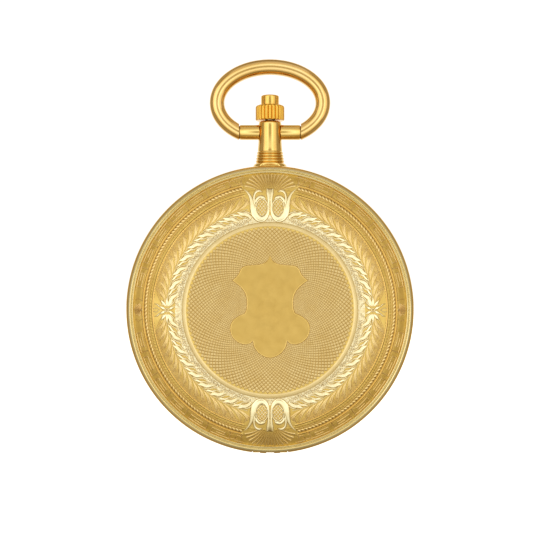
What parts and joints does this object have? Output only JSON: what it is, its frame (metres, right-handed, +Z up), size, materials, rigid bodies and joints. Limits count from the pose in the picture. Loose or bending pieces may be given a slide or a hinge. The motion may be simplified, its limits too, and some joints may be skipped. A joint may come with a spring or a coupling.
{
  "type": "pocket watch",
  "caption": "Round full-hunter pocket watch with hinged domed covers on both sides, a ribbed winding crown with a push button, and a swinging oval bow.",
  "frame": {"origin": "the point inside the top of the bow where a chain link bears", "axes": "+Z up towards the bow, -Y out of the front cover, +X to the right seen from the front"},
  "size_m": [0.05, 0.0122, 0.069],
  "materials": {
    "gold": "polished gold plate",
    "dial_enamel": "white enamel, numerals and tracks printed in black",
    "blued_steel": "heat-blued, polished",
    "steel": "polished steel",
    "nickel": "nickel-plated brass with fine striping",
    "gilt_brass": "gilt, circular grained",
    "ruby": "polished red jewel",
    "crystal": "clear, polished"
  },
  "bodies": {
    "case": {"case_middle": "gold", "front_hinge_pin": "gold", "back_hinge_pin": "gold", "bezel": "gold", "crystal": "crystal", "rear_bezel": "gold", "rear_crystal": "crystal", "dial_flange": "steel", "lift_spring": "steel", "neck": "gold", "bow_sleeves": "gold", "dial": "dial_enamel", "movement_ring": "nickel", "main_plate": "nickel", "barrel_bridge": "nickel", "train_bridge": "nickel", "pallet_bridge": "nickel", "balance_cock": "nickel", "jewels": "ruby", "bridge_screws": "blued_steel", "crown_wheel_screw": "blued_steel", "click_screw": "blued_steel", "click_spring": "steel"},
    "front_cover": {"front_cover": "gold"},
    "back_cover": {"back_cover": "gold"},
    "bow": {"bow": "gold", "bow_pins": "gold"},
    "winding_pinions": {"winding_pinion": "steel", "clutch_pinion": "steel"},
    "crown": {"crown": "gold", "winding_stem": "steel", "button_spring": "steel"},
    "button": {"crown_button": "gold"},
    "catch": {"cover_catch": "steel"},
    "setting_lever": {"setting_lever": "steel"},
    "crown_wheel": {"crown_wheel": "steel"},
    "ratchet": {"ratchet_wheel": "steel", "ratchet_screw": "blued_steel", "barrel_arbor": "steel"},
    "click": {"click": "steel"},
    "barrel": {"barrel": "gilt_brass", "barrel_lid": "gilt_brass", "mainspring": "blued_steel"},
    "centre": {"centre_wheel": "gilt_brass", "cannon_pinion": "steel", "minute_hand": "blued_steel"},
    "hour": {"hour_wheel": "gilt_brass", "hour_hand": "blued_steel"},
    "minute_wheel": {"minute_wheel": "gilt_brass"},
    "third": {"third_wheel": "gilt_brass"},
    "fourth": {"fourth_wheel": "gilt_brass", "seconds_hand": "blued_steel"},
    "escape": {"escape_wheel": "steel"},
    "pallet": {"pallet_fork": "steel", "pallet_stones": "ruby"},
    "balance": {"balance_wheel": "gilt_brass", "balance_screws": "gilt_brass", "balance_staff": "steel", "roller": "steel", "hairspring": "blued_steel"}
  },
  "joints": [
    {"name": "front_cover_hinge", "type": "hinge", "parent": "case", "child": "front_cover", "pos_m": [0, -0.0026, -0.06549], "axis": [1, 0, 0], "range_deg": [0, 95]},
    {"name": "back_cover_hinge", "type": "hinge", "parent": "case", "child": "back_cover", "pos_m": [0, 0.0026, -0.06549], "axis": [-1, 0, 0], "range_deg": [0, 95]},
    {"name": "bow_swing", "type": "hinge", "parent": "case", "child": "bow", "pos_m": [0, 0, -0.01014], "axis": [1, 0, 0], "range_deg": [-95, 95]},
    {"name": "crown_turn", "type": "hinge", "parent": "case", "child": "winding_pinions", "pos_m": [0, 0, -0.02924], "axis": [0, 0, 1], "continuous": true},
    {"name": "crown_pull", "type": "slide", "parent": "winding_pinions", "child": "crown", "axis": [0, 0, 1], "range_m": [0, 0.0008]},
    {"name": "button_push", "type": "slide", "parent": "crown", "child": "button", "axis": [0, 0, -1], "range_m": [0, 0.0005], "stiffness_N_per_m": 1500, "springref_m": -0.001, "deforming": ["button_spring"]},
    {"name": "catch_slide", "type": "slide", "parent": "case", "child": "catch", "axis": [0, 0, -1], "range_m": [0, 0.00046]},
    {"name": "setting_lever_turn", "type": "hinge", "parent": "case", "child": "setting_lever", "pos_m": [0.0034, -0.0011, -0.02564], "axis": [0, 1, 0], "range_deg": [0, 14]},
    {"name": "crown_wheel_turn", "type": "hinge", "parent": "case", "child": "crown_wheel", "pos_m": [0, 0.00185, -0.03104], "axis": [0, 1, 0], "continuous": true},
    {"name": "ratchet_turn", "type": "hinge", "parent": "case", "child": "ratchet", "pos_m": [-0.00643, 0.00185, -0.03584], "axis": [0, 1, 0], "continuous": true},
    {"name": "click_rock", "type": "hinge", "parent": "case", "child": "click", "pos_m": [-0.01263, 0.00185, -0.03358], "axis": [0, 1, 0], "range_deg": [0, 8], "stiffness_Nm_per_rad": 0.0001, "springref_deg": -5.73},
    {"name": "fourth_wheel_turn", "type": "hinge", "parent": "case", "child": "fourth", "pos_m": [0, 0.0005, -0.05024], "axis": [0, 1, 0], "continuous": true},
    {"name": "third_wheel_turn", "type": "hinge", "parent": "case", "child": "third", "pos_m": [0.00333, 0.0005, -0.04638], "axis": [0, 1, 0], "continuous": true},
    {"name": "centre_wheel_turn", "type": "hinge", "parent": "case", "child": "centre", "pos_m": [0, 0.0005, -0.04124], "axis": [0, 1, 0], "continuous": true},
    {"name": "hour_wheel_turn", "type": "hinge", "parent": "case", "child": "hour", "pos_m": [0, -0.0012, -0.04124], "axis": [0, 1, 0], "continuous": true},
    {"name": "minute_wheel_turn", "type": "hinge", "parent": "case", "child": "minute_wheel", "pos_m": [0.00109, -0.0012, -0.03823], "axis": [0, 1, 0], "continuous": true},
    {"name": "barrel_turn", "type": "hinge", "parent": "case", "child": "barrel", "pos_m": [-0.00643, 0.0004, -0.03584], "axis": [0, 1, 0], "continuous": true},
    {"name": "escape_wheel_turn", "type": "hinge", "parent": "case", "child": "escape", "pos_m": [-0.00403, 0.0006, -0.05171], "axis": [0, 1, 0], "continuous": true},
    {"name": "pallet_swing", "type": "hinge", "parent": "case", "child": "pallet", "pos_m": [-0.00635, 0.0006, -0.0495], "axis": [0, 1, 0], "range_deg": [-5, 5]},
    {"name": "balance_swing", "type": "hinge", "parent": "case", "child": "balance", "pos_m": [-0.0102, 0.0015, -0.04584], "axis": [0, 1, 0], "range_deg": [-270, 270], "stiffness_Nm_per_rad": 0.0000002}
  ],
  "couplings": [
    {"joint": "catch_slide", "follows": "button_push", "ratio": 0.9},
    {"joint": "setting_lever_turn", "follows": "crown_pull", "rad_per_m": 303.3},
    {"joint": "crown_wheel_turn", "follows": "crown_turn", "ratio": -0.45455},
    {"joint": "ratchet_turn", "follows": "crown_turn", "ratio": 0.31915},
    {"joint": "third_wheel_turn", "follows": "fourth_wheel_turn", "ratio": -0.13333},
    {"joint": "centre_wheel_turn", "follows": "fourth_wheel_turn", "ratio": 0.016667},
    {"joint": "hour_wheel_turn", "follows": "fourth_wheel_turn", "ratio": 0.0013889},
    {"joint": "minute_wheel_turn", "follows": "fourth_wheel_turn", "ratio": -0.0055556},
    {"joint": "barrel_turn", "follows": "fourth_wheel_turn", "ratio": -0.0027778},
    {"joint": "escape_wheel_turn", "follows": "fourth_wheel_turn", "ratio": -10}
  ]
}
